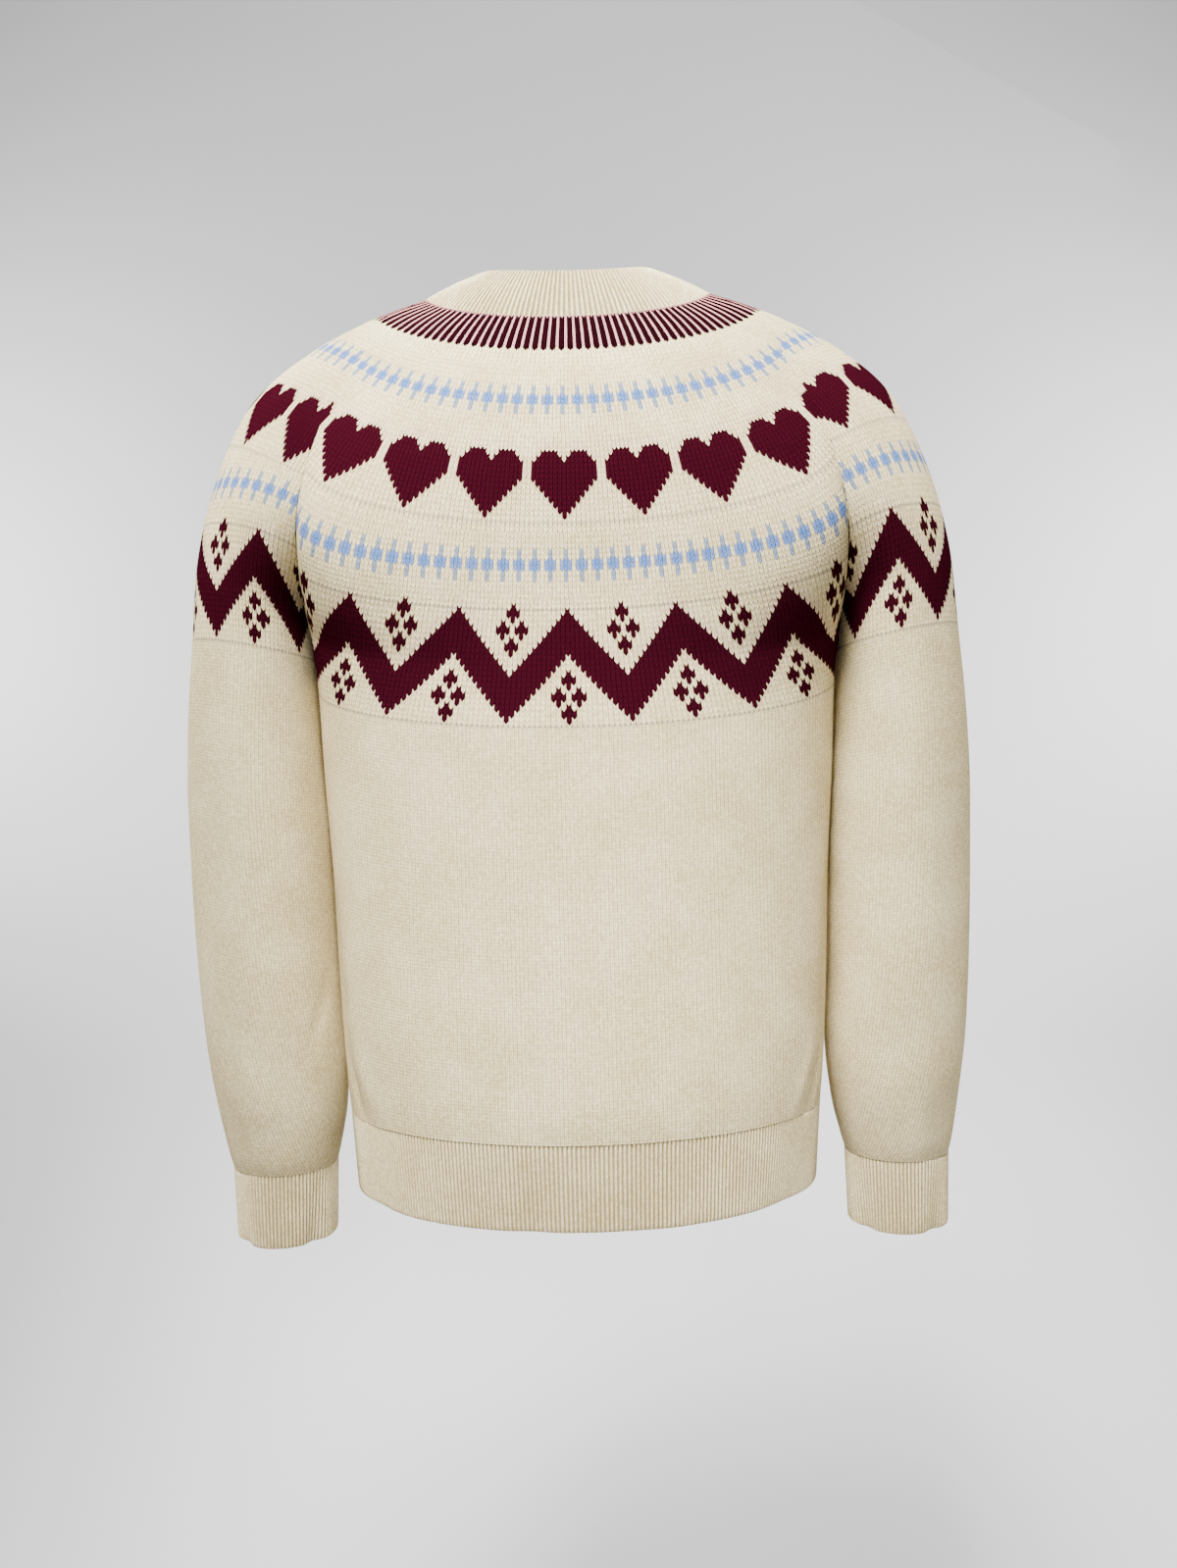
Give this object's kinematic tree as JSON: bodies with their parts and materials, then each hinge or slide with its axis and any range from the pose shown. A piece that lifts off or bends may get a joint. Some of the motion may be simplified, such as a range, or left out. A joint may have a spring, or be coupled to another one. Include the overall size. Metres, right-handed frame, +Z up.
{
  "type": "crewneck sweater",
  "caption": "Long-sleeved raglan crewneck sweater with ribbed neckband, hem and cuffs, filled out as when worn.",
  "frame": {"origin": "middle of the neck opening at the height of the shoulders, where the wearer holds the garment up", "axes": "+Z up, +Y out of the front of the garment, +X towards the wearer's right"},
  "size_m": [0.565, 0.245, 0.6949],
  "materials": {
    "panel_knit": "matt plain knit with a patterned yoke in dark red and light blue on cream",
    "rib_knit": "matt one by one rib"
  },
  "bodies": {
    "root": {"back_panel": "panel_knit", "front_panel": "panel_knit", "sleeve_left": "panel_knit", "sleeve_right": "panel_knit", "neckband": "rib_knit", "hem_rib_back": "rib_knit", "hem_rib_front": "rib_knit", "cuff_left": "rib_knit", "cuff_right": "rib_knit"}
  },
  "joints": []
}
